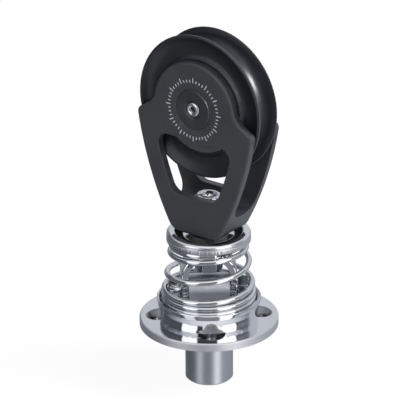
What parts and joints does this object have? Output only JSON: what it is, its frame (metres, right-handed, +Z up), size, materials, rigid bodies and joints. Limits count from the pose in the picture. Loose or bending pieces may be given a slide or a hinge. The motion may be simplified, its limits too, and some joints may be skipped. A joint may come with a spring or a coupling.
{
  "type": "stand-up block",
  "caption": "Stand-up block: a line sheave on ball bearings between dark cheeks, swivelling on a sprung toggle over a round deck plate with a shank.",
  "frame": {"origin": "centre of the deck plate's underside, where it meets the deck", "axes": "+Z up along the swivel and the shank, Y along the sheave's axle with -Y to the front cheek"},
  "size_m": [0.061, 0.058, 0.154],
  "materials": {
    "polished_steel": "mirror polished",
    "spring_steel": "bright drawn",
    "turned_steel": "fine turned",
    "fastener_steel": "bright",
    "black_anodised": "satin black hard anodised",
    "cap_anodised": "satin black anodised",
    "sheave_anodised": "smooth black anodised",
    "cone_black": "smooth black acetal",
    "ball_steel": "polished",
    "cage_plastic": "moulded",
    "bearing_plastic": "moulded"
  },
  "bodies": {
    "base": {"deck_plate": "polished_steel", "shank": "turned_steel", "post": "polished_steel", "lug_bush": "bearing_plastic", "spring_cup": "polished_steel", "spring": "spring_steel"},
    "toggle_group": {"toggle": "polished_steel", "pivot_screw": "fastener_steel", "pivot_nut": "fastener_steel", "spring_collar": "polished_steel", "thrust_washer": "bearing_plastic", "head_washer": "fastener_steel", "swivel_bolt": "fastener_steel", "swivel_nut": "fastener_steel"},
    "block": {"frame": "black_anodised", "swivel_bush": "bearing_plastic", "axle": "turned_steel", "axle_cap_front": "cap_anodised", "axle_cap_rear": "cap_anodised", "cap_screw_front": "fastener_steel", "cap_screw_rear": "fastener_steel", "bearing_cone_front": "cone_black", "bearing_cone_rear": "cone_black"},
    "sheave_wheel": {"sheave": "sheave_anodised"},
    "ball_row_front": {"ball_cage_front": "cage_plastic", "balls_front": "ball_steel"},
    "ball_row_rear": {"ball_cage_rear": "cage_plastic", "balls_rear": "ball_steel"}
  },
  "joints": [
    {"name": "toggle_tilt", "type": "hinge", "parent": "base", "child": "toggle_group", "pos_m": [0, 0, 0.0157], "axis": [0.766, 0.6428, 0], "range_deg": [-40, 40], "stiffness_Nm_per_rad": 3, "deforming": ["spring"]},
    {"name": "block_swivel", "type": "hinge", "parent": "toggle_group", "child": "block", "pos_m": [0, 0, 0.0402], "axis": [0, 0, 1], "continuous": true},
    {"name": "sheave_spin", "type": "hinge", "parent": "block", "child": "sheave_wheel", "pos_m": [0, 0, 0.0985], "axis": [0, 1, 0], "continuous": true},
    {"name": "cage_front_spin", "type": "hinge", "parent": "block", "child": "ball_row_front", "pos_m": [0, 0, 0.0985], "axis": [0, 1, 0], "continuous": true},
    {"name": "cage_rear_spin", "type": "hinge", "parent": "block", "child": "ball_row_rear", "pos_m": [0, 0, 0.0985], "axis": [0, 1, 0], "continuous": true}
  ],
  "couplings": [
    {"joint": "cage_front_spin", "follows": "sheave_spin", "ratio": 0.5486},
    {"joint": "cage_rear_spin", "follows": "sheave_spin", "ratio": 0.5486}
  ]
}
